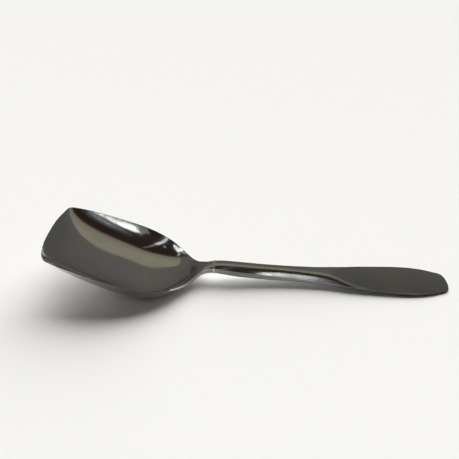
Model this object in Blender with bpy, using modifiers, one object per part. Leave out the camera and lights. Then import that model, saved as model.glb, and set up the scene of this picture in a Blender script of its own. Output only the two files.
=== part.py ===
"""Serving spoon with a square-fronted bowl and a straight handle that widens to a flat paddle.

Sizes are in millimetres and become metres where a mesh is made. A station is a distance along the spoon, and
a share is a part of its half width. X runs from the bowl's tip to the end of the handle, Y across the spoon
and Z up. The origin is on the table under the middle of the spoon's length.
"""

import bpy
import numpy as np

MM = 0.001

# Plan of the whole spoon: half its width at a station, the rounding of its corners and the bow of its ends
OUTLINE = (
    (1.3, 24.85), (6.0, 26.35), (15.0, 27.95), (32.0, 29.15), (50.0, 26.6), (60.0, 20.6), (68.0, 12.35),
    (74.0, 5.5), (80.0, 4.1), (87.0, 4.79), (98.0, 5.03), (110.0, 4.86), (122.0, 5.27), (132.0, 6.08),
    (141.0, 7.2), (150.0, 9.15), (160.0, 10.6), (178.0, 12.35), (191.0, 11.2), (200.0, 8.0),
)
TIP_STATION = 1.3
TIP_CORNER = 2.6
TIP_BOW = 2.95
TIP_BOW_FADES_AT = 37.0
END_STATION = 201.0
END_CORNER = 2.0
END_BOW = 0.8
END_BOW_STARTS_AT = 181.0
BOW_SQUARENESS = 2.8

# Side view: height of the rim and of the handle's upper edges above the table
EDGE_HEIGHT = (
    (0.0, 29.2), (25.0, 20.1), (50.0, 11.2), (62.0, 7.3), (69.0, 6.05), (75.0, 8.1), (81.0, 9.4), (87.0, 9.0),
    (98.0, 7.61), (110.0, 6.24), (122.0, 5.03), (136.0, 3.77), (150.0, 3.36), (165.0, 2.49), (201.0, 0.8),
)

# Bowl: depth of its floor below the rim, how square its section is (2 is a parabola), the share of a parabola
# that dishes its floor, and its sheet, which is thinner towards the rim
BOWL_DEPTH = (
    (1.3, 0.94), (5.0, 4.35), (12.0, 7.98), (28.0, 10.8), (45.0, 10.85), (54.0, 8.7), (62.0, 5.5),
    (68.0, 2.3), (74.0, 0.5), (82.0, 0.0),
)
BOWL_SQUARENESS = 4.5
ROUNDER_SECTION = (52.0, 74.0)
FLOOR_DISH = ((0.0, -0.18), (8.0, 0.095), (18.0, 0.16), (40.0, 0.013))
BOWL_GAUGE = 1.75
RIM_GAUGE = ((1.3, 1.3), (20.0, 0.8), (60.0, 0.9))
RIM_THINS = (0.82, 1.0)

# Neck and handle: half width of the flat top, slope and rounding of the bevels beside it, height and draft of
# the sides, and the stretches where the bowl's section turns into the handle's
FLAT_TOP = (
    (70.0, 2.0), (90.0, 2.25), (105.0, 2.5), (116.0, 2.62), (127.0, 3.17), (135.0, 3.86), (141.0, 4.9),
    (149.0, 7.95), (157.0, 10.7), (165.0, 13.0),
)
BEVEL_SLOPE = (
    (70.0, 0.72), (86.0, 0.72), (98.0, 0.95), (108.0, 1.25), (117.0, 1.38), (128.0, 1.42), (140.0, 1.42),
    (165.0, 1.3),
)
BEVEL_ROUNDING = 0.5
SIDE_HEIGHT = (
    (64.0, 2.6), (82.0, 3.3), (100.0, 3.25), (112.0, 2.8), (126.0, 1.7), (141.0, 1.0), (165.0, 1.0),
    (201.0, 0.8),
)
SIDE_DRAFT = ((60.0, 0.5), (70.0, 0.5), (82.0, 0.35), (95.0, 0.24), (201.0, 0.22))
BOWL_TO_BEVELS = (67.0, 87.0)
SHELL_TO_SOLID = (55.0, 78.0)

# Butt weld across the neck where it bends into the handle
WELD_STATION = 81.5
WELD_LENGTH = 0.9
JOINT_GAP = 0.3

# Mesh: rounding of the cut edges, the angle from which an edge counts as cut, how close the two halves' middle
# points must lie to be joined, and the angle up to which the bowl's columns lie as sines, so closer at the rim
EDGE_ROUNDING = 0.25
SHARP_ANGLE = np.radians(45.0)
JOIN_DISTANCE = 0.01
COLUMN_ANGLE = np.radians(70.0)


def spline(points, stations):
    """Natural cubic spline through (station, value) points: its bend runs on evenly through every point."""
    at, value = np.array(points).T
    gap = np.diff(at)
    rise = np.diff(value) / gap
    system = np.eye(len(at))
    change = np.zeros(len(at))
    for i in range(1, len(at) - 1):
        system[i, i - 1 : i + 2] = gap[i - 1], 2 * (gap[i - 1] + gap[i]), gap[i]
        change[i] = 6 * (rise[i] - rise[i - 1])
    bend = np.linalg.solve(system, change)
    i = np.clip(np.searchsorted(at, stations) - 1, 0, len(at) - 2)
    after = stations - at[i]
    before = at[i + 1] - stations
    curved = (bend[i] * before**3 + bend[i + 1] * after**3) / (6 * gap[i])
    from_left = (value[i] / gap[i] - bend[i] * gap[i] / 6) * before
    from_right = (value[i + 1] / gap[i] - bend[i + 1] * gap[i] / 6) * after
    return curved + from_left + from_right


def within(points, stations):
    """The spline through the points, which keeps its first and its last value beyond them."""
    return spline(points, np.clip(stations, points[0][0], points[-1][0]))


def ease(stretch, stations):
    """0 before the stretch and 1 after it, along 6t^5 - 15t^4 + 10t^3, which starts and ends with no bend."""
    t = np.clip((stations - stretch[0]) / (stretch[1] - stretch[0]), 0, 1)
    return t**3 * (t * (6 * t - 15) + 10)


def tip_bow(stations):
    """How far the middle of the bowl runs ahead of its rim."""
    return TIP_BOW * np.clip(1 - stations / TIP_BOW_FADES_AT, 0, 1) ** 2


def end_bow(stations):
    """How far the middle of the paddle runs past its edges."""
    return END_BOW * np.clip((stations - END_BOW_STARTS_AT) / (END_STATION - END_BOW_STARTS_AT), 0, 1) ** 2


def tip_arc_depth():
    """Length of the tip's corner arc along the spoon, which starts at the slope of the bowed front edge."""
    slope = BOW_SQUARENESS * TIP_BOW / (OUTLINE[0][1] - TIP_CORNER)
    return TIP_CORNER * np.cos(np.arctan(slope))


def half_width(stations):
    """Outline's half width, with an arc taken off at the tip's and the paddle's corners."""
    depth = tip_arc_depth()
    into_tip = np.clip(TIP_STATION + depth - stations, 0, depth)
    into_end = np.clip(stations - (END_STATION - END_CORNER), 0, END_CORNER)
    off_tip = TIP_CORNER - np.sqrt(TIP_CORNER**2 - into_tip**2)
    off_end = END_CORNER - np.sqrt(END_CORNER**2 - into_end**2)
    return spline(OUTLINE, stations) - off_tip - off_end


def ramp(distance):
    """0 below 0 and the distance above it, with a rounded corner: r times log(1 + exp(distance / r))."""
    return BEVEL_ROUNDING * np.logaddexp(0, distance / BEVEL_ROUNDING)


def half_sections(stations, shares):
    """Upper and lower face of the spoon's far half, one row for each station and one column for each share.

    In the bowl the upper face is the edge height less the depth times one minus the share to a power. In the
    handle it is the edge height plus the rise of a bevel to the flat top. The lower face is the sheet's gauge
    below it in the bowl, measured square to the section, and a flat at the side height in the neck and the
    handle. The bowl's heel is pressed flat on the table.
    """
    station = stations[:, None]
    share = shares[None, :]
    width = half_width(station)
    x = station + (end_bow(station) - tip_bow(station)) * (1 - share**BOW_SQUARENESS)
    y = width * share
    edge = spline(EDGE_HEIGHT, x)
    to_bevels = ease(BOWL_TO_BEVELS, station)
    depth = within(BOWL_DEPTH, station) * (1 - to_bevels)
    power = BOWL_SQUARENESS + (2 - BOWL_SQUARENESS) * ease(ROUNDER_SECTION, station)
    dished = within(FLOOR_DISH, station)
    rise = share**power * (1 - dished) + share**2 * dished
    flat_top = within(FLAT_TOP, station)
    bevel_rise = within(BEVEL_SLOPE, station) * (ramp(width - flat_top) - ramp(y - flat_top))
    upper = edge - depth * (1 - rise) + bevel_rise * to_bevels

    steepness = power * share ** (power - 1) * (1 - dished) + 2 * share * dished
    slope = steepness * depth / width
    across = 1 / np.sqrt(1 + slope**2)
    solid = ease(SHELL_TO_SOLID, station)
    gauge = BOWL_GAUGE + (within(RIM_GAUGE, station) - BOWL_GAUGE) * ease(RIM_THINS, share)
    side = within(SIDE_HEIGHT, station)
    draft = within(SIDE_DRAFT, station) * side
    lower_y = y + gauge * slope * across * (1 - solid) - draft * share * solid
    shell_z = upper - gauge * across
    lower_z = np.maximum(shell_z * (1 - solid) + (edge - side) * solid, 0)

    tip = TIP_STATION - tip_bow(TIP_STATION)
    x = x - (END_STATION + END_BOW + tip) / 2
    return np.stack((x, y, upper), -1), np.stack((x, lower_y, lower_z), -1)


def steel(name, shade, roughness):
    """Bare polished stainless steel."""
    material = bpy.data.materials.new(name)
    material.use_nodes = True
    shader = material.node_tree.nodes["Principled BSDF"]
    shader.inputs["Base Color"].default_value = (*shade, 1)
    shader.inputs["Metallic"].default_value = 1.0
    shader.inputs["Roughness"].default_value = roughness
    return material


def lofted(name, stations, shares, material):
    """Loft the half sections along the stations, close both ends, mirror the half and round its edges."""
    upper, lower = half_sections(stations, shares)
    rings = np.concatenate((upper, lower[:, ::-1]), axis=1)
    rows, columns = rings.shape[:2]
    number = np.arange(rows * columns).reshape(rows, columns)
    corners = (number[:-1, :-1], number[1:, :-1], number[1:, 1:], number[:-1, 1:])
    sides = np.stack(corners, -1).reshape(-1, 4)
    over = number[:, : len(shares)]
    under = number[:, : len(shares) - 1 : -1]
    front = np.stack((over[0, :-1], over[0, 1:], under[0, 1:], under[0, :-1]), -1)
    back = np.stack((over[-1, 1:], over[-1, :-1], under[-1, :-1], under[-1, 1:]), -1)

    mesh = bpy.data.meshes.new(name)
    faces = np.concatenate((sides, front, back))
    mesh.from_pydata((rings.reshape(-1, 3) * MM).tolist(), [], faces.tolist())
    mesh.shade_smooth()
    mesh.materials.append(material)
    piece = bpy.data.objects.new(name, mesh)
    collection.objects.link(piece)

    mirror = piece.modifiers.new("near half", "MIRROR")
    mirror.use_axis = (False, True, False)
    mirror.merge_threshold = JOIN_DISTANCE * MM
    bevel = piece.modifiers.new("rounded edges", "BEVEL")
    bevel.width = EDGE_ROUNDING * MM
    bevel.segments = 2
    bevel.limit_method = "ANGLE"
    bevel.angle_limit = SHARP_ANGLE


def bowl():
    """Bowl pressed from sheet, drawn together at its heel into a short rising neck."""
    corner_end = TIP_STATION + tip_arc_depth()
    corner = corner_end - tip_arc_depth() * np.cos(np.linspace(0, np.pi / 2, 6))
    dish = np.linspace(corner_end, ROUNDER_SECTION[0], 15)[1:]
    neck_end = WELD_STATION - WELD_LENGTH / 2 - JOINT_GAP
    neck = np.linspace(ROUNDER_SECTION[0], neck_end, 18)[1:]
    stations = np.concatenate((corner, dish, neck))
    shares = np.sin(np.linspace(0, COLUMN_ANGLE, 12)) / np.sin(COLUMN_ANGLE)
    lofted("bowl", stations, shares, steel("bowl steel", (0.56, 0.55, 0.52), 0.16))


def neck_weld():
    """Weld metal that fills the joint through the whole thickness of the neck, ground flush."""
    stations = WELD_STATION + np.array((-0.5, 0.5)) * WELD_LENGTH
    lofted("neck_weld", stations, np.linspace(0, 1, 10), steel("weld steel", (0.6, 0.6, 0.58), 0.12))


def handle():
    """Solid handle: a flat top between two bevels, which run out where it is rolled to a thin paddle."""
    start = WELD_STATION + WELD_LENGTH / 2 + JOINT_GAP
    shank = np.linspace(start, FLAT_TOP[-1][0], 22)
    paddle = np.linspace(FLAT_TOP[-1][0], END_STATION - END_CORNER, 9)[1:]
    corner = END_STATION - END_CORNER * (1 - np.sin(np.linspace(0, np.pi / 2, 5)[1:]))
    stations = np.concatenate((shank, paddle, corner))
    lofted("handle", stations, np.linspace(0, 1, 14), steel("handle steel", (0.55, 0.54, 0.51), 0.2))


for old in list(bpy.data.objects):
    bpy.data.objects.remove(old)
collection = bpy.data.collections.new("serving_spoon")
bpy.context.scene.collection.children.link(collection)
bowl()
neck_weld()
handle()
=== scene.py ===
import bmesh
import bpy
import numpy as np
from mathutils import Matrix, Vector


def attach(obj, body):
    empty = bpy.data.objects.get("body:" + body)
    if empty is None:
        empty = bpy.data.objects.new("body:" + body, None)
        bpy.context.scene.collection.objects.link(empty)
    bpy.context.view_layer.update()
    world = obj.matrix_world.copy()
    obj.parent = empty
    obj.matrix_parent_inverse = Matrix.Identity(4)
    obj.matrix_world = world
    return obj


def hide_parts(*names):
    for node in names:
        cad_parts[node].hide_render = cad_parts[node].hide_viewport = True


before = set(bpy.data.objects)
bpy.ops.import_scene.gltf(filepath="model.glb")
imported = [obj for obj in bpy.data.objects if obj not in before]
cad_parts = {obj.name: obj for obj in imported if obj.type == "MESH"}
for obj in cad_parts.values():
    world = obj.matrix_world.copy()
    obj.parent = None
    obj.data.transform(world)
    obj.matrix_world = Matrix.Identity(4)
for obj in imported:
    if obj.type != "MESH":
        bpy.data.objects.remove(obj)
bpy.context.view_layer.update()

# Bowl
# A square-fronted bowl pressed from stainless sheet, with a nearly flat floor, steep walls and a bowed
# front edge. The sheet thins towards the rim, whose cut edge is rounded over. The heel is drawn together
# into a solid neck, and the whole is polished.
MM = 0.001

# The spoon's curves are (station, value) points in millimetres. Stations run along the spoon, from the
# corners of the front edge to the end of the handle.

# Half width of the outline.
OUTLINE = (
    (1.3, 24.85), (6.0, 26.35), (15.0, 27.95), (32.0, 29.15), (50.0, 26.6), (60.0, 20.6), (68.0, 12.35),
    (74.0, 5.5), (80.0, 4.1), (87.0, 4.79), (98.0, 5.03), (110.0, 4.86), (122.0, 5.27), (132.0, 6.08),
    (141.0, 7.2), (150.0, 9.15), (160.0, 10.6), (178.0, 12.35), (191.0, 11.2), (200.0, 8.0),
)
# Height of the upper face's edge above the table.
EDGE_HEIGHT = (
    (0.0, 29.2), (25.0, 20.1), (50.0, 11.2), (62.0, 7.3), (69.0, 6.05), (75.0, 8.1), (81.0, 9.4), (87.0, 9.0),
    (98.0, 7.61), (110.0, 6.24), (122.0, 5.03), (136.0, 3.77), (150.0, 3.36), (165.0, 2.49), (201.0, 0.8),
)
# Depth of the bowl's floor below the edge.
BOWL_DEPTH = (
    (1.3, 0.94), (5.0, 4.35), (12.0, 7.98), (28.0, 10.8), (45.0, 10.85), (54.0, 8.7), (62.0, 5.5),
    (68.0, 2.3), (74.0, 0.5), (82.0, 0.0),
)
# Share of the bowl's section that is an even dish, and not a flat floor between steep walls.
FLOOR_DISH = ((0.0, -0.18), (8.0, 0.095), (18.0, 0.16), (40.0, 0.013))
# Thickness of the sheet at the rim.
RIM_GAUGE = ((1.3, 1.3), (20.0, 0.8), (60.0, 0.9))
# Height of the neck's and the handle's sides, and how far they lean in for each millimetre of it.
SIDE_HEIGHT = (
    (64.0, 2.6), (82.0, 3.3), (100.0, 3.25), (112.0, 2.8), (126.0, 1.7), (141.0, 1.0), (165.0, 1.0),
    (201.0, 0.8),
)
SIDE_DRAFT = ((60.0, 0.5), (70.0, 0.5), (82.0, 0.35), (95.0, 0.24), (201.0, 0.22))
# Half width of the flat top between the two bevels, and the slope of the bevels.
FLAT_TOP = (
    (70.0, 2.0), (90.0, 2.25), (105.0, 2.5), (116.0, 2.62), (127.0, 3.17), (135.0, 3.86), (141.0, 4.9),
    (149.0, 7.95), (157.0, 10.7), (165.0, 13.0),
)
BEVEL_SLOPE = (
    (70.0, 0.72), (86.0, 0.72), (98.0, 0.95), (108.0, 1.25), (117.0, 1.38), (128.0, 1.42), (140.0, 1.42),
    (165.0, 1.3),
)

# A squareness is a power: 2 is round, and a higher one has straighter sides and tighter corners.
TIP_STATION = 1.3
TIP_CORNER = 2.6
TIP_BOW = 2.95
TIP_BOW_FADES_AT = 37.0
END_STATION = 201.0
END_CORNER = 2.0
END_BOW = 0.8
END_BOW_STARTS_AT = 181.0
BOW_SQUARENESS = 2.8
BOWL_SQUARENESS = 4.5
HEEL_SQUARENESS = 2.0
BOWL_GAUGE = 1.75
BEVEL_ROUNDING = 0.5
WELD_STATION = 81.5
WELD_LENGTH = 1.5

# Stretches over which one form changes into the next. The rim thins over a share of the half width.
BOWL_TO_HEEL = (52.0, 74.0)
BOWL_TO_BEVELS = (67.0, 87.0)
SHELL_TO_SOLID = (55.0, 78.0)
RIM_THINS = (0.82, 1.0)


def spline(points, station):
    """Natural cubic spline through (station, value) points.

    Between two points the bend runs straight from one point's bend to the next one's, and the bends are
    solved for so that the slopes meet at every point. There is no bend at the first and the last point.
    """
    at, value = np.array(points).T
    gap = np.diff(at)
    rise = np.diff(value) / gap
    system = np.eye(len(at))
    inner = np.arange(1, len(at) - 1)
    system[inner, inner - 1] = gap[:-1]
    system[inner, inner] = 2 * (gap[:-1] + gap[1:])
    system[inner, inner + 1] = gap[1:]
    bend = np.linalg.solve(system, np.concatenate(([0.0], 6 * np.diff(rise), [0.0])))
    i = np.clip(np.searchsorted(at, station) - 1, 0, len(at) - 2)
    after = station - at[i]
    before = at[i + 1] - station
    curved = (bend[i] * before**3 + bend[i + 1] * after**3) / (6 * gap[i])
    from_left = (value[i] / gap[i] - bend[i] * gap[i] / 6) * before
    from_right = (value[i + 1] / gap[i] - bend[i + 1] * gap[i] / 6) * after
    return curved + from_left + from_right


def level_spline(points, station):
    """Spline that stays level at its first value before its points, and at its last value after them."""
    return spline(points, np.clip(station, points[0][0], points[-1][0]))


def ease(stretch, station):
    """0 before the stretch and 1 after it, along 6t^5 - 15t^4 + 10t^3, which starts and ends with no bend."""
    t = np.clip((station - stretch[0]) / (stretch[1] - stretch[0]), 0, 1)
    return t**3 * (t * (6 * t - 15) + 10)


RIM_BULGE = 0.3


def half_width(station):
    """Outline's half width less the rim's bulge, with an arc taken off at the tip's and the paddle's corners.

    The tip's arc starts at the slope that the bowed front edge has at its ends, so the two run on into each
    other.
    """
    depth = TIP_CORNER * np.cos(np.arctan(BOW_SQUARENESS * TIP_BOW / (OUTLINE[0][1] - TIP_CORNER)))
    into_tip = np.clip(TIP_STATION + depth - station, 0, depth)
    into_end = np.clip(station - (END_STATION - END_CORNER), 0, END_CORNER)
    off_tip = TIP_CORNER - np.sqrt(TIP_CORNER**2 - into_tip**2)
    off_end = END_CORNER - np.sqrt(END_CORNER**2 - into_end**2)
    return spline(OUTLINE, station) - RIM_BULGE - off_tip - off_end


def spoon_faces(stations, shares):
    """Upper and lower face of the spoon on a grid of stations along it and shares of its half width across.

    Both ends are bowed: a point moves along the spoon by the bow times one minus the share to the bow's
    squareness. The bowl's upper face is the edge height less the depth times one minus a rise. The rise
    is the share to the bowl's squareness, blended by the dish with the share squared. The handle's upper
    face is the edge height plus two bevels that rise to a flat top. A bevel is its slope times a smooth
    ramp, which is the rounding times log(1 + exp(distance past the flat / rounding)). The bowl's lower
    face is the gauge below the upper face, square to the section. Under the neck and the handle it is a
    flat at the side height below the edge, drawn in by the draft. It never goes below the table, so the
    heel stands flat on it.
    """
    station = stations[:, None]
    share = shares[None, :]
    reach = np.abs(share)
    width = half_width(station)
    tip_bow = TIP_BOW * np.clip(1 - station / TIP_BOW_FADES_AT, 0, 1) ** 2
    end_bow = END_BOW * np.clip((station - END_BOW_STARTS_AT) / (END_STATION - END_BOW_STARTS_AT), 0, 1) ** 2
    x = station + (end_bow - tip_bow) * (1 - reach**BOW_SQUARENESS)
    y = width * share
    edge = spline(EDGE_HEIGHT, x)

    to_bevels = ease(BOWL_TO_BEVELS, station)
    depth = level_spline(BOWL_DEPTH, station) * (1 - to_bevels)
    power = BOWL_SQUARENESS + (HEEL_SQUARENESS - BOWL_SQUARENESS) * ease(BOWL_TO_HEEL, station)
    dished = level_spline(FLOOR_DISH, station)
    rise = reach**power * (1 - dished) + reach**2 * dished
    flat_top = level_spline(FLAT_TOP, station)
    at_edge = np.logaddexp(0, (width - flat_top) / BEVEL_ROUNDING)
    ramp = at_edge - np.logaddexp(0, (np.abs(y) - flat_top) / BEVEL_ROUNDING)
    bevel = level_spline(BEVEL_SLOPE, station) * BEVEL_ROUNDING * ramp
    upper = edge - depth * (1 - rise) + bevel * to_bevels

    slope = power * reach ** (power - 1) * (1 - dished) + 2 * reach * dished
    slope = slope * depth * np.sign(share) / width
    upright = 1 / np.sqrt(1 + slope**2)
    gauge = BOWL_GAUGE + (level_spline(RIM_GAUGE, station) - BOWL_GAUGE) * ease(RIM_THINS, reach)
    solid = ease(SHELL_TO_SOLID, station)
    side = level_spline(SIDE_HEIGHT, station)
    lean = level_spline(SIDE_DRAFT, station) * side * share
    lower_y = y + gauge * slope * upright * (1 - solid) - lean * solid
    lower = np.maximum((upper - gauge * upright) * (1 - solid) + (edge - side) * solid, 0)

    tip = TIP_STATION - TIP_BOW * (1 - TIP_STATION / TIP_BOW_FADES_AT) ** 2
    x = x - (END_STATION + END_BOW + tip) / 2
    return np.stack((x, y, upper), -1) * MM, np.stack((x, lower_y, lower), -1) * MM


def shares_across(columns):
    """Shares from the near edge, -1, to the far edge, 1: the sine of even angles, so they crowd at both."""
    return np.sin(np.linspace(-np.pi / 2, np.pi / 2, columns))


def quads(grid):
    """Faces between neighbouring rows and columns of a grid of vertex numbers."""
    return np.stack((grid[:-1, :-1], grid[1:, :-1], grid[1:, 1:], grid[:-1, 1:]), -1).reshape(-1, 4).tolist()


RIM_SQUARENESS = (3.0, 9.0)
RIM_STEPS = 13
SHARP_EDGE = np.radians(50)


def rounded_body(name, upper, lower, closed_tip):
    """Closed body between an upper and a lower face, with a cut rim along their free edges.

    A rim point is the middle of the edge, plus half the thickness times a squared-off cosine, plus the
    bulge times a squared-off sine, of an angle from 0 to 180 degrees. The bulge points away from the
    body, square to the edge and the thickness. The rim's corners are rounded, the upper one more than the
    lower one. With closed_tip the rim runs round the first row as well, and otherwise that row is capped
    flat like the last.
    """
    rows, columns = upper.shape[:2]
    over = np.arange(rows * columns).reshape(rows, columns)
    under = over + rows * columns
    far = over[::-1, -1]
    near = over[:, 0]
    edges = [np.concatenate((far, over[0, -2::-1], near[1:]))] if closed_tip else [far, near]
    points = [upper.reshape(-1, 3), lower.reshape(-1, 3)]
    faces = quads(over) + quads(under) + quads(np.stack((over[-1], under[-1])))
    faces += [] if closed_tip else quads(np.stack((over[0], under[0])))
    count = 2 * rows * columns
    angle = np.linspace(0, np.pi, RIM_STEPS + 2)[1:-1, None, None]
    squareness = np.where(angle < np.pi / 2, *RIM_SQUARENESS)
    up = np.sign(np.cos(angle)) * np.abs(np.cos(angle)) ** (2 / squareness)
    away = np.sin(angle) ** (2 / squareness)
    for edge in edges:
        top = points[0][edge]
        bottom = points[1][edge]
        thickness = top - bottom
        out = np.cross(np.gradient(top, axis=0), thickness)
        out /= np.linalg.norm(out, axis=1, keepdims=True)
        rim = (top + bottom) / 2 + thickness / 2 * up + out * (RIM_BULGE * MM) * away
        numbers = count + np.arange(RIM_STEPS * len(edge)).reshape(RIM_STEPS, len(edge))
        strip = np.concatenate((edge[None], numbers, edge[None] + rows * columns))
        faces += quads(strip) + [strip[:, 0].tolist(), strip[:, -1].tolist()]
        points.append(rim.reshape(-1, 3))
        count += RIM_STEPS * len(edge)

    mesh = bpy.data.meshes.new(name)
    mesh.from_pydata(np.concatenate(points).tolist(), [], faces)
    work = bmesh.new()
    work.from_mesh(mesh)
    bmesh.ops.recalc_face_normals(work, faces=work.faces)
    work.to_mesh(mesh)
    work.free()
    mesh.shade_smooth()
    mesh.set_sharp_from_angle(angle=SHARP_EDGE)
    piece = bpy.data.objects.new(name, mesh)
    bpy.context.scene.collection.objects.link(piece)
    return piece


class Signal:
    """A shader socket: arithmetic on it adds Math nodes, and node() adds any other node."""

    def __init__(self, tree, socket=None):
        self.tree = tree
        self.socket = socket

    def node(self, kind, settings, sockets, output=0):
        """New node of a kind: its settings are set first, then the values or links of its sockets."""
        made = self.tree.nodes.new(kind)
        for name, setting in settings.items():
            setattr(made, name, setting)
        for name, value in sockets.items():
            if isinstance(value, Signal):
                self.tree.links.new(value.socket, made.inputs[name])
            else:
                made.inputs[name].default_value = value
        return Signal(self.tree, made.outputs[output])

    def math(self, operation, left, right):
        """Math node on two values."""
        return self.node("ShaderNodeMath", {"operation": operation}, {0: left, 1: right})

    def __add__(self, other):
        return self.math("ADD", self, other)

    def __sub__(self, other):
        return self.math("SUBTRACT", self, other)

    def __rsub__(self, other):
        return self.math("SUBTRACT", other, self)

    def __mul__(self, other):
        return self.math("MULTIPLY", self, other)

    __radd__ = __add__
    __rmul__ = __mul__

    def axis(self, name):
        """One of the three parts of a vector."""
        return self.node("ShaderNodeSeparateXYZ", {}, {"Vector": self}, name)

    def noise(self, scale, detail):
        """Cloudy noise from 0 to 1 at this place."""
        return self.node("ShaderNodeTexNoise", {}, {"Vector": self, "Scale": scale, "Detail": detail})

    def stretched(self, turn, cells):
        """This place turned about the vertical, in cells per metre along each axis."""
        sockets = {"Vector": self, "Rotation": (0, 0, turn), "Scale": cells}
        return self.node("ShaderNodeMapping", {}, sockets)

    def rise(self, low, high):
        """0 below low and 1 above high, on a smooth step between them."""
        sockets = {"Value": self, "From Min": low, "From Max": high}
        return self.node("ShaderNodeMapRange", {"interpolation_type": "SMOOTHSTEP"}, sockets)

    def blend(self, first, second):
        """The first colour where this value is 0, and the second where it is 1."""
        return self.node("ShaderNodeMix", {"data_type": "RGBA"}, {"Factor": self, 6: first, 7: second}, 2)


# Marks in the steel. Cells are the noise's patches per metre: along the marks, across them and upwards.
LINE_CELLS = (60, 2600, 2600)
LINE_DETAIL = 3.0
LINE_ROUGHNESS = 0.04
SCRATCH_CELLS = (35, 900, 900)
SCRATCH_TURN = 0.7
SCRATCH_DETAIL = 2.0
SCRATCH_LEVELS = (0.70, 0.78)
SCRATCH_ROUGHNESS = 0.08
SMEAR_CELLS = 70.0
SMEAR_DETAIL = 4.0
SMEAR_LEVELS = (0.45, 0.75)
SMEAR_ROUGHNESS = 0.05
SMEAR_DULLS_TO = 0.9
SMEAR_WAVE = 0.12
BUMP_HEIGHT = 0.0002
HAZE_ROUGHNESS = 0.42
BLACK = (0, 0, 0, 1)


def polished_steel(name, shade, roughness, polish_turn, grain, haze, painted_shade=None):
    """Bare stainless steel: polish lines along one direction, stray scratches, and smears left by handling.

    The roughness is the polish's own plus a part of all three. The bump is the lines less the scratches,
    times the grain, plus a slight wave under the smears. Haze is the share of a rougher layer in the same
    colour, the faint bloom of a polish that isn't a full mirror. A smear dulls the shade. The last argument,
    if given, is a function from a place to the share of the shade that is darkened as painted shade.
    """
    material = bpy.data.materials.new(name)
    material.use_nodes = True
    tree = material.node_tree
    start = Signal(tree)
    place = start.node("ShaderNodeTexCoord", {}, {}, "Object")
    lines = place.stretched(polish_turn, LINE_CELLS).noise(1.0, LINE_DETAIL)
    crossing = place.stretched(SCRATCH_TURN, SCRATCH_CELLS)
    scratches = crossing.noise(1.0, SCRATCH_DETAIL).rise(*SCRATCH_LEVELS)
    smears = place.noise(SMEAR_CELLS, SMEAR_DETAIL).rise(*SMEAR_LEVELS)
    dull = tuple(SMEAR_DULLS_TO * part for part in shade)
    colour = smears.blend((*shade, 1), (*dull, 1))
    # Painted shade: the colour is darkened towards black by the share that the given function gives.
    if painted_shade is not None:
        colour = painted_shade(place).blend(colour, BLACK)
    rough = roughness + lines * LINE_ROUGHNESS + scratches * SCRATCH_ROUGHNESS + smears * SMEAR_ROUGHNESS
    height = (lines - scratches) * grain + smears * SMEAR_WAVE
    bump = start.node("ShaderNodeBump", {}, {"Strength": 1.0, "Distance": BUMP_HEIGHT, "Height": height})

    shader = tree.nodes["Principled BSDF"]
    shader.inputs["Metallic"].default_value = 1.0
    tree.links.new(colour.socket, shader.inputs["Base Color"])
    tree.links.new(rough.socket, shader.inputs["Roughness"])
    tree.links.new(bump.socket, shader.inputs["Normal"])
    layer = {"Base Color": colour, "Metallic": 1.0, "Roughness": HAZE_ROUGHNESS, "Normal": bump}
    hazy = start.node("ShaderNodeBsdfPrincipled", {}, layer)
    surface = start.node("ShaderNodeMixShader", {}, {0: haze, 1: Signal(tree, shader.outputs[0]), 2: hazy})
    tree.links.new(surface.socket, tree.nodes["Material Output"].inputs["Surface"])
    return material


TIP_ROWS = 13
DISH_ROWS = 80
NECK_ROWS = 70
BOWL_COLUMNS = 121
BOWL_SHADE = (0.56, 0.55, 0.52)
tip_rows = TIP_STATION + TIP_CORNER * (1 - np.cos(np.linspace(0, np.pi / 2, TIP_ROWS)))
dish_rows = np.linspace(tip_rows[-1], BOWL_TO_HEEL[0], DISH_ROWS)[1:]
neck_rows = np.linspace(BOWL_TO_HEEL[0], WELD_STATION - WELD_LENGTH / 2, NECK_ROWS)[1:]
bowl_faces = spoon_faces(np.concatenate((tip_rows, dish_rows, neck_rows)), shares_across(BOWL_COLUMNS))
bowl = rounded_body("bowl_pressing", *bowl_faces, closed_tip=True)
bowl_polish = polished_steel(
    "bowl polish", BOWL_SHADE, roughness=0.06, polish_turn=0.25, grain=0.02, haze=0.07
)
bowl.data.materials.append(bowl_polish)
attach(bowl, "root")
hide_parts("bowl")

# Neck weld
# The bead that joins the neck to the handle where the spoon bends, ground nearly flush and polished with the
# rest. A trace of its crown is left standing, so it catches light as a line across the neck. Its shade is
# lighter than the rest of the steel, a painted highlight that makes that line brighter.
WELD_PROUD = 0.1
WELD_ROWS = 13
WELD_COLUMNS = 49
# Lighter than the bowl's and the handle's shade: a painted highlight that brightens the weld's line.
WELD_HIGHLIGHT_SHADE = (0.74, 0.74, 0.72)
weld_rows = np.linspace(-1, 1, WELD_ROWS)
weld_over, weld_under = spoon_faces(WELD_STATION + weld_rows * WELD_LENGTH / 2, shares_across(WELD_COLUMNS))
weld_crown = (1 - weld_rows[:, None] ** 2) * WELD_PROUD * MM
weld_over[..., 2] += weld_crown
weld_under[..., 2] -= weld_crown
weld = rounded_body("weld_bead", weld_over, weld_under, closed_tip=False)
weld_polish = polished_steel(
    "weld polish", WELD_HIGHLIGHT_SHADE, roughness=0.3, polish_turn=np.pi / 2, grain=0.02, haze=0.5
)
weld.data.materials.append(weld_polish)
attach(weld, "root")
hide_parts("neck_weld")

# Handle
# A solid strip with a narrow flat top between two bevels, which run out where it is rolled thinner and
# wider into a flat paddle with rounded corners. It is polished along its length. The paddle has painted
# shade, which comes in where the paddle starts and is darker towards the near side.
SHANK_ROWS = 150
END_ROWS = 15
HANDLE_COLUMNS = 61
HANDLE_SHADE = (0.515, 0.515, 0.495)

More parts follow.
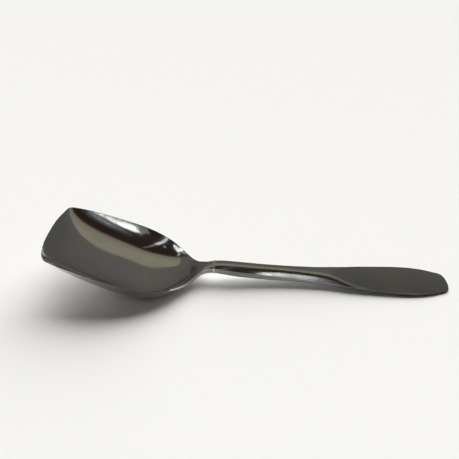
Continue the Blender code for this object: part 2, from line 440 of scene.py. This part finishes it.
# Painted shade on the paddle: where it comes in, in metres from the spoon's middle, how dark it is there,
# and how much darker it gets for each metre towards the near side.
PAINTED_SHADE_FROM = (0.043, 0.057)
PAINTED_SHADE_DEPTH = 0.28
PAINTED_SHADE_PER_METRE = 14


def painted_paddle_shade(place):
    """Painted shade, which comes in where the paddle starts and grows evenly towards the near side."""
    return place.axis("X").rise(*PAINTED_SHADE_FROM) * (PAINTED_SHADE_DEPTH - place.axis("Y") * PAINTED_SHADE_PER_METRE)


# The rows run from the paddle's end to the weld, because the rim goes round the first row.
end_rows = END_STATION - END_CORNER * (1 - np.sin(np.linspace(0, np.pi / 2, END_ROWS)[1:]))
shank_rows = np.linspace(WELD_STATION + WELD_LENGTH / 2, END_STATION - END_CORNER, SHANK_ROWS)
handle_faces = spoon_faces(np.concatenate((shank_rows, end_rows))[::-1], shares_across(HANDLE_COLUMNS))
handle = rounded_body("handle_strip", *handle_faces, closed_tip=True)
# The handle's colour carries painted shade on the paddle.
handle_polish = polished_steel(
    "handle polish", HANDLE_SHADE, roughness=0.12, polish_turn=0.0, grain=0.12, haze=0.1, painted_shade=painted_paddle_shade
)
handle.data.materials.append(handle_polish)
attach(handle, "root")
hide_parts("handle")

# Table
# A plain pale table top, matt all over, that the spoon stands on. It isn't part of the object, and it is so
# large that its edges are outside the picture.
TABLE_SIDE = 8.0
TABLE_COLOUR = (0.86, 0.86, 0.85, 1)
TABLE_ROUGHNESS = 0.9
bpy.ops.mesh.primitive_plane_add(size=TABLE_SIDE, location=(0, 0, 0))
table = bpy.context.object
table.name = "table_top"
pale = bpy.data.materials.new("pale table")
pale.use_nodes = True
pale_sockets = pale.node_tree.nodes["Principled BSDF"].inputs
pale_sockets["Base Color"].default_value = TABLE_COLOUR
pale_sockets["Roughness"].default_value = TABLE_ROUGHNESS
pale_sockets["Specular IOR Level"].default_value = 0.0
table.data.materials.append(pale)

# Studio
# A dim room with a back wall in two tones under a dark ceiling, and a broad key light from behind that isn't
# mirrored. The steel mirrors a window of several panes above the camera, a window at the left, a long tube
# overhead and a small lamp.
LOWER_WALL = ((0.115, 0.113, 0.109, 1), (0.151, 0.149, 0.143, 1))
UPPER_WALL = ((0.262, 0.244, 0.194, 1), (0.358, 0.337, 0.266, 1))
CEILING = (0.031, 0.018, 0.015, 1)

# Where one tone changes into the next, as the part of a direction one unit long that points up or back.
LOWER_WALL_UP = (0.2, 0.6)
WALL_LINE_UP = (0.612, 0.63)
WALL_LINE_TILT = 0.1
UPPER_WALL_BACK = (0.1, 0.6)
CEILING_BACK = (0.05, 0.24)
world = bpy.data.worlds.new("room")
bpy.context.scene.world = world
world.use_nodes = True
way = Signal(world.node_tree).node("ShaderNodeTexCoord", {}, {}, "Generated")
up = way.axis("Z")
back = way.axis("Y")
lower_wall = up.rise(*LOWER_WALL_UP).blend(*LOWER_WALL)
upper_wall = back.rise(*UPPER_WALL_BACK).blend(*UPPER_WALL)
wall = (up + way.axis("X") * WALL_LINE_TILT).rise(*WALL_LINE_UP).blend(lower_wall, upper_wall)
around = back.rise(*CEILING_BACK).blend(CEILING, wall)
world.node_tree.links.new(around.socket, world.node_tree.nodes["Background"].inputs["Color"])

KEY_ENERGY = 4.7
KEY_SPREAD = np.radians(80)
KEY_FROM = (0.1, 0.78, 0.62)
key_data = bpy.data.lights.new("key", "SUN")
key_data.energy = KEY_ENERGY
key_data.angle = KEY_SPREAD
key = bpy.data.objects.new("key", key_data)
key.rotation_euler = Vector(KEY_FROM).to_track_quat("Z", "Y").to_euler()
key.visible_glossy = False
bpy.context.scene.collection.objects.link(key)

DOME_CENTRE = (-0.05, 0.0, 0.01)


def soft_box(name, distance, start, end, width, brightness, tint):
    """Soft box from one place on a dome over the bowl to another, turned to face the dome's centre.

    A place is given as its distance to the right and to the back for each unit of height, and the dome's
    radius is the distance. A box's power is its brightness times its area times pi.
    """
    ends = [Vector((*place, 1)).normalized() * distance for place in (start, end)]
    along = (ends[1] - ends[0]).normalized()
    middle = (ends[0] + ends[1]) / 2
    away = middle.normalized()
    data = bpy.data.lights.new(name, "AREA")
    data.shape = "RECTANGLE"
    data.size = (ends[1] - ends[0]).length
    data.size_y = width
    data.energy = brightness * data.size * data.size_y * np.pi
    data.color = tint
    lamp = bpy.data.objects.new(name, data)
    facing = Matrix((along, away.cross(along), away)).transposed().to_4x4()
    lamp.matrix_world = Matrix.Translation(middle + Vector(DOME_CENTRE)) @ facing
    bpy.context.scene.collection.objects.link(lamp)


# Distances from the bowl in metres, and the tints of the light.
NEAR = 0.9
FAR = 1.5
SUNLIT = (1, 0.99, 0.97)
SKY = (0.84, 0.95, 1)
PALE_SKY = (0.93, 0.98, 1)
SHADE = (0.80, 0.93, 1)
DEEP_SHADE = (0.75, 0.9, 1)
DUSK = (0.55, 0.8, 1)
CREAM = (1, 0.94, 0.82)
AMBER = (1, 0.80, 0.5)
TUBE = (0.88, 0.95, 1)
BULB = (1, 0.86, 0.6)
soft_box("window first", NEAR, (0.440, -0.82), (0.436, -0.93), 0.0125, 0.6, SKY)
soft_box("window second", NEAR, (0.416, -0.82), (0.414, -1.06), 0.015, 3.6, SUNLIT)
soft_box("window third", NEAR, (0.380, -0.87), (0.380, -1.17), 0.0225, 2.8, SUNLIT)
soft_box("window fourth", NEAR, (0.335, -0.92), (0.335, -1.30), 0.0276, 3.2, SKY)
soft_box("window fifth", NEAR, (0.286, -0.96), (0.286, -1.40), 0.026, 3.2, SKY)
soft_box("window corner", NEAR, (0.249, -1.01), (0.249, -1.16), 0.016, 2.0, CREAM)
soft_box("window frame", NEAR, (0.462, -0.99), (0.305, -1.56), 0.03, 0.24, SHADE)
soft_box("window sill", NEAR, (0.453, -0.97), (0.463, -0.47), 0.022, 0.26, DEEP_SHADE)
soft_box("window ledge", NEAR, (0.446, -0.72), (0.466, -0.55), 0.012, 0.5, SHADE)
soft_box("window glow", NEAR, (0.50, -0.35), (0.44, -0.74), 0.08, 0.08, DUSK)
soft_box("dim pane", NEAR, (0.211, -1.22), (0.211, -1.60), 0.052, 0.5, SHADE)
soft_box("dimmer pane", NEAR, (0.16, -1.44), (-0.19, -1.44), 0.15, 0.27, SHADE)
soft_box("warm edge", NEAR, (0.255, -1.02), (0.03, -1.19), 0.015, 1.3, AMBER)
soft_box("tube end", FAR, (0.24, -0.01), (0.06, -0.26), 0.09, 0.14, TUBE)
soft_box("tube", FAR, (0.06, -0.26), (-0.19, -0.56), 0.08, 0.36, TUBE)
soft_box("long tube", FAR, (-0.19, -0.56), (-1.7, -1.62), 0.12, 1.25, SHADE)
soft_box("left window", FAR, (-1.57, -0.82), (-1.27, -0.22), 0.07, 2.8, PALE_SKY)
soft_box("left strip", FAR, (-1.27, -0.22), (-1.02, 0.14), 0.045, 0.8, PALE_SKY)
soft_box("small lamp", FAR, (-0.57, -0.59), (-0.59, -0.48), 0.05, 1.2, BULB)

# Camera
# It stands about 0.3 m from the spoon, as in the photograph, and looks down at it from the near side. Its
# place is in millimetres, and its focal length is in pixels of the square picture.
CAMERA_PLACE = (2.723, -257.2, 183.9)
CAMERA_TILT = np.radians(30.75)
CAMERA_HEADING = np.radians(2.96)
CAMERA_ROLL = np.radians(-0.61)
FOCAL_PIXELS = 600.0
IMAGE_PIXELS = 459.0
SENSOR_WIDTH = 36.0
lens = bpy.data.cameras.new("camera")
lens.sensor_width = SENSOR_WIDTH
lens.lens = SENSOR_WIDTH * FOCAL_PIXELS / IMAGE_PIXELS
camera = bpy.data.objects.new("camera", lens)
turn = Matrix.Rotation(CAMERA_HEADING, 4, "Z") @ Matrix.Rotation(np.pi / 2 - CAMERA_TILT, 4, "X")
turn = turn @ Matrix.Rotation(CAMERA_ROLL, 4, "Z")
camera.matrix_world = Matrix.Translation(Vector(CAMERA_PLACE) * MM) @ turn
bpy.context.scene.collection.objects.link(camera)
bpy.context.scene.camera = camera
bpy.context.scene.view_settings.view_transform = "Standard"
